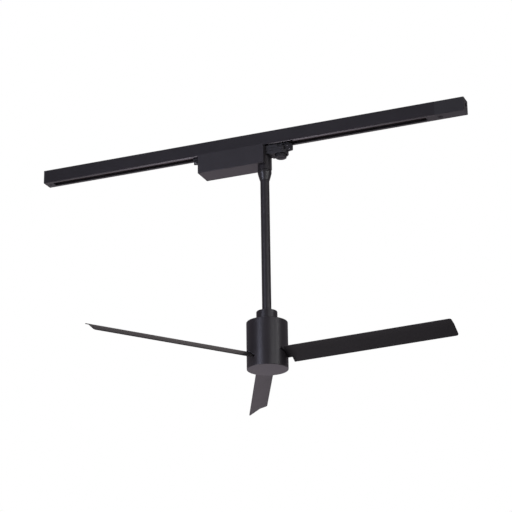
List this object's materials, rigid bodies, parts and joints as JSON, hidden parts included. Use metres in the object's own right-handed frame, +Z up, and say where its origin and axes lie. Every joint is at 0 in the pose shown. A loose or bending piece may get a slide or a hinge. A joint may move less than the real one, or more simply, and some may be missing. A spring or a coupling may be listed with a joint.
{
  "type": "track-mounted ceiling fan",
  "caption": "Ceiling fan on a surface track: slim track with a live end, driver box and adapter that slide in its slot, a down rod, and a drum motor with flat folded blades.",
  "frame": {"origin": "middle of the extruded track's ceiling face", "axes": "+Z up, normal to the ceiling face; +X along the track, towards the live end; Y across the track"},
  "size_m": [1.074, 0.8045, 0.579],
  "materials": {
    "track_paint": "satin black powder coat",
    "body_paint": "satin black, fine texture",
    "black_plastic": "fine moulded texture",
    "insulator_plastic": "moulded, dull",
    "copper": "drawn copper",
    "brass": "bright",
    "zinc_steel": "zinc plated",
    "black_steel": "black oxide",
    "bearing_steel": "ground",
    "core_steel": "laminated, varnished",
    "magnet": "sintered",
    "winding": "enamelled copper",
    "board_green": "glass fibre laminate",
    "component": "sleeved",
    "terminal_plastic": "moulded",
    "aluminium_cast": "die cast",
    "lead_sheath": "flexible sheath"
  },
  "bodies": {
    "track": {"track_profile": "track_paint", "track_insulator_front": "insulator_plastic", "track_insulator_back": "insulator_plastic", "track_conductors": "copper", "track_earth_strip": "copper", "end_cap": "black_plastic", "end_cap_screw": "black_steel", "feed_housing": "black_plastic", "feed_cover": "black_plastic", "feed_cover_screw": "black_steel", "feed_terminal_block": "terminal_plastic", "feed_contacts": "brass"},
    "carriage": {"driver_case": "body_paint", "driver_lid": "body_paint", "driver_lid_screws": "black_steel", "driver_board": "board_green", "board_spacers": "zinc_steel", "board_capacitors": "component", "board_transformer": "component", "board_choke": "winding", "board_terminals": "terminal_plastic", "adapter_body": "black_plastic", "adapter_feet": "black_plastic", "adapter_feet_screws": "black_steel", "adapter_contacts": "copper", "earth_contact": "copper", "stem_nipple": "zinc_steel", "stem_nut": "zinc_steel", "stem_collar": "body_paint", "stem_cone": "body_paint", "down_rod": "body_paint", "motor_lead": "lead_sheath", "coupling_cover": "body_paint", "coupling_screw": "black_steel", "rod_pins": "zinc_steel", "motor_shaft": "zinc_steel", "shaft_nut": "zinc_steel", "stator_core": "core_steel", "stator_windings": "winding", "bearing_inner_rings": "bearing_steel"},
    "dial": {"phase_dial": "black_plastic"},
    "lever": {"lock_lever": "black_plastic", "lock_tongue": "zinc_steel", "lever_rivets": "zinc_steel"},
    "latch": {"latch_lever": "black_plastic", "latch_tongue": "zinc_steel", "latch_pin": "zinc_steel"},
    "rotor": {"rotor_housing": "body_paint", "bottom_cover": "body_paint", "rotor_ring": "core_steel", "rotor_magnets": "magnet", "rotor_hub": "aluminium_cast", "bearing_outer_rings": "bearing_steel", "bearing_balls": "bearing_steel", "hub_screws": "zinc_steel", "blade_1": "body_paint", "blade_2": "body_paint", "blade_3": "body_paint", "blade_clamps": "zinc_steel", "blade_screws": "zinc_steel"}
  },
  "joints": [
    {"name": "carriage_slide", "type": "slide", "parent": "track", "child": "carriage", "axis": [1, 0, 0], "range_m": [-0.372, 0.332]},
    {"name": "circuit_dial", "type": "hinge", "parent": "carriage", "child": "dial", "pos_m": [0.118, 0, -0.06], "axis": [0, 0, 1], "range_deg": [0, 270]},
    {"name": "lock_lever", "type": "hinge", "parent": "carriage", "child": "lever", "pos_m": [0.132, 0, -0.04], "axis": [0, 0, 1], "range_deg": [0, 90]},
    {"name": "latch_lever", "type": "hinge", "parent": "carriage", "child": "latch", "pos_m": [-0.097, 0, -0.04], "axis": [0, 0, 1], "range_deg": [0, 90]},
    {"name": "rotor_spin", "type": "hinge", "parent": "carriage", "child": "rotor", "pos_m": [0.076, 0, -0.52], "axis": [0, 0, 1], "continuous": true}
  ]
}
